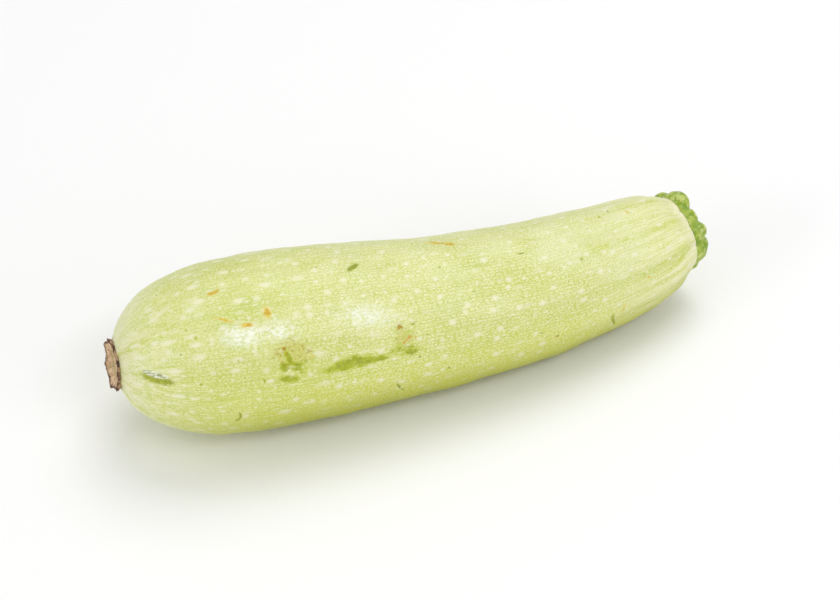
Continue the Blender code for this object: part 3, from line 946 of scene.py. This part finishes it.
def skin_finish():
    """Pale green waxy skin with rows of fine light specks, cream spots, bruises and scabs."""
    make = Recipe("zucchini_skin")
    place = make.attribute("unrolled", "Vector")
    ground = skin_ground(make, place)
    fine, spot = skin_specks(make, place)
    # Painted highlight, partly a whitish waxy film: near-white patches with bright flecks
    wax_and_highlight = make.plus(make.attribute("wax_and_highlight"), make.times(make.noise(place, 1.6, 5.0, 0.8), 1.7))
    flecks = make.noise(make.stretched(place, 0.6), 0.8, 3.0, 0.7)
    wax_and_highlight = make.times(make.rise(wax_and_highlight, 1.15, 1.85), make.rise(flecks, 0.42, 0.54, 0.3, 1.0))
    colour = make.mix(make.times(wax_and_highlight, 0.92), ground, linear(240, 244, 232))
    colour = make.mix(make.times(fine, 0.95), colour, linear(238, 237, 200))
    colour = make.mix(spot, colour, linear(233, 232, 200))
    # Painted shade and green bounce light, partly the yellower ground spot: the underside is mixed
    # darker and more yellow-green
    colour = make.mix(make.times(make.attribute("shaded_underside"), 0.95), colour, linear(160, 164, 0))
    scratches = make.noise(make.stretched(place, 0.5), 0.5, 3.0, 0.6)
    scratches = make.times(make.rise(wax_and_highlight, 0.3, 0.8), make.rise(scratches, 0.61, 0.69))
    colour = make.mix(make.times(scratches, 0.7), colour, linear(154, 156, 98))
    collar = make.noise(make.stretched(place, 0.1), 0.5, 3.0)
    collar = make.times(make.attribute("collar"), make.rise(collar, 0.38, 0.62, 0.25, 0.85))
    colour = make.mix(collar, colour, linear(236, 229, 198))
    colour, scab = skin_marks(make, place, colour, make.most(fine, spot))

    make.show("Base Color", colour)
    rough = make.rise(make.noise(place, 5.0, 3.0), 0.3, 0.7, 0.36, 0.48)
    rough = make.minus(rough, make.times(wax_and_highlight, 0.08))
    make.show("Roughness", make.plus(rough, make.times(scab, 0.25)))
    height = make.plus(fine, make.times(spot, 0.5))
    make.show("Normal", make.bump(height, 0.5, 0.00010))
    make.show("Specular IOR Level", make.rise(make.attribute("shaded_underside"), 0.0, 1.0, 0.5, 0.2))
    make.show("Subsurface Weight", 0.12)
    make.show("Subsurface Radius", (1.0, 1.0, 0.35))
    make.show("Subsurface Scale", 0.002)
    make.show("Sheen Weight", 0.05)
    make.show("Sheen Roughness", 0.4)
    return make.finish


def stem_finish():
    """Green stem skin with painted shade darker in its grooves, pale mottling, and a pale fibrous cut.
    """
    make = Recipe("stem_green")
    place = make.node("ShaderNodeTexCoord", {}).outputs["Object"]
    lobe = make.attribute("lobe")
    face = make.attribute("face")
    blotch = make.noise(place, 0.0028, 2.0, 0.5)
    colour = make.mix(make.rise(blotch, 0.38, 0.62), linear(124, 154, 30), linear(164, 182, 58))
    mottle = make.plus(make.noise(place, 0.0016, 3.0, 0.55), make.times(lobe, 0.12))
    colour = make.mix(make.rise(mottle, 0.58, 0.80, 0.0, 0.7), colour, linear(206, 216, 136))
    speck = make.rise(make.cells(place, 0.0013, 1.0, flat=False), 0.36, 0.10)
    colour = make.mix(make.times(speck, 0.45), colour, linear(216, 222, 156))
    # Painted shade: the grooves between the lobes are mixed darker green
    colour = make.mix(make.rise(lobe, 0.75, 0.10, 0.0, 0.8), colour, linear(118, 152, 26))

    radius = make.attribute("from_middle")
    pith = make.noise(place, 0.0013, 4.0, 0.6)
    cut = make.mix(make.rise(pith, 0.35, 0.65), linear(218, 216, 152), linear(196, 192, 112))
    ring = make.times(make.rise(radius, 5.2, 6.2), make.rise(radius, 7.6, 6.6))
    strand = make.rise(make.cells(place, 0.0021, 0.7, flat=False), 0.42, 0.24)
    colour = make.mix(face, colour, make.mix(make.times(ring, strand), cut, linear(146, 152, 60)))
    make.show("Base Color", colour)
    make.show("Roughness", make.rise(face, 0.0, 1.0, 0.40, 0.7))
    height = make.plus(make.noise(place, 0.0009, 2.0), make.times(speck, 0.3))
    make.show("Normal", make.bump(height, 0.3, 0.0002))
    make.show("Subsurface Weight", 0.1)
    make.show("Subsurface Scale", 0.002)
    return make.finish


def cork_finish():
    """Dry cork: a tan face, a greenish middle, a thin dark rim and a torn brown wall below it."""
    make = Recipe("scar_cork")
    place = make.node("ShaderNodeTexCoord", {}).outputs["Object"]
    wall = make.attribute("wall")
    rim = make.attribute("rim")
    grain = make.noise(place, 0.0009, 5.0, 0.7)
    coarse = make.noise(place, 0.0020, 3.0, 0.6)
    face = make.mix(make.rise(grain, 0.38, 0.62), linear(232, 202, 164), linear(190, 154, 118))
    middle = make.plus(make.attribute("from_middle"), make.times(coarse, 7.0))
    dried = make.mix(make.rise(grain, 0.36, 0.64), linear(196, 180, 120), linear(146, 124, 76))
    face = make.mix(make.rise(middle, 9.2, 6.6, 0.0, 0.85), face, dried)
    bark = make.mix(make.rise(coarse, 0.40, 0.60), linear(190, 156, 124), linear(120, 86, 62))
    colour = make.mix(wall, face, bark)
    holes = make.rise(make.plus(coarse, make.times(wall, 0.10)), 0.64, 0.70)
    colour = make.mix(make.times(holes, 0.85), colour, linear(62, 40, 28))
    edge = make.times(rim, make.rise(grain, 0.30, 0.55, 0.4, 1.0))
    colour = make.mix(make.times(edge, 0.95), colour, linear(84, 58, 40))
    make.show("Base Color", colour)
    make.show("Roughness", 0.85)
    make.show("Normal", make.bump(grain, 0.7, 0.0003))
    return make.finish


def make_floor():
    """A pale floor, wide enough for every view."""
    square = ((-1.0, -1.0), (1.0, -1.0), (1.0, 1.0), (-1.0, 1.0))
    places = [(x * FLOOR_REACH, y * FLOOR_REACH, 0.0) for x, y in square]
    mesh = bpy.data.meshes.new("floor")
    mesh.from_pydata(places, [], [(0, 1, 2, 3)])
    floor = bpy.data.objects.new("floor", mesh)
    floor.location.z = -FLOOR_DROP
    make = Recipe("floor_white")
    make.show("Base Color", (FLOOR_WHITE, FLOOR_WHITE, FLOOR_WHITE, 1.0))
    make.show("Roughness", 0.9)
    mesh.materials.append(make.finish)
    bpy.context.scene.collection.objects.link(floor)


def aim(thing, place, target):
    """Puts a lamp or camera at a place, looking at a target."""
    back = (place - target).normalized()
    thing.matrix_world = Matrix.Translation(place) @ back.to_track_quat("Z", "Y").to_matrix().to_4x4()


def direction(azimuth, elevation):
    """The way from the object towards an azimuth, measured as for the camera, and an elevation."""
    level = np.cos(elevation)
    return Vector((np.sin(azimuth) * level, -np.cos(azimuth) * level, np.sin(elevation)))


def make_lamp(name, azimuth, elevation, distance, width, height, power):
    """A soft box of white light."""
    lamp = bpy.data.lights.new(name, "AREA")
    lamp.shape = "RECTANGLE"
    lamp.size = width
    lamp.size_y = height
    lamp.energy = power
    body = bpy.data.objects.new(name, lamp)
    bpy.context.scene.collection.objects.link(body)
    aim(body, direction(np.radians(azimuth), np.radians(elevation)) * distance, LAMP_TARGET)


def make_light():
    """Soft light from above and in front, and an even white surround."""
    world = bpy.data.worlds.new("surround")
    world.use_nodes = True
    background = world.node_tree.nodes["Background"]
    background.inputs["Color"].default_value = (1.0, 1.0, 1.0, 1.0)
    background.inputs["Strength"].default_value = SURROUND_STRENGTH
    bpy.context.scene.world = world
    for name, values in LAMPS.items():
        make_lamp(name, *values)


def make_camera():
    """The photograph's view."""
    camera = bpy.data.cameras.new("camera")
    camera.lens = CAMERA_LENS
    camera.sensor_width = CAMERA_SENSOR
    body = bpy.data.objects.new("camera", camera)
    bpy.context.scene.collection.objects.link(body)
    away = direction(CAMERA_AZIMUTH, CAMERA_ELEVATION) * CAMERA_DISTANCE
    aim(body, CAMERA_TARGET + away, CAMERA_TARGET)
    bpy.context.scene.camera = body
    bpy.context.scene.view_settings.view_transform = "Standard"


fruit = make_fruit()
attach(fruit, "root")
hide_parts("fruit")

stem = make_stem()
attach(stem, "root")
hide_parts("stem")

scar = make_scar()
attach(scar, "root")
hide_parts("blossom_scar")

make_floor()
make_light()
make_camera()
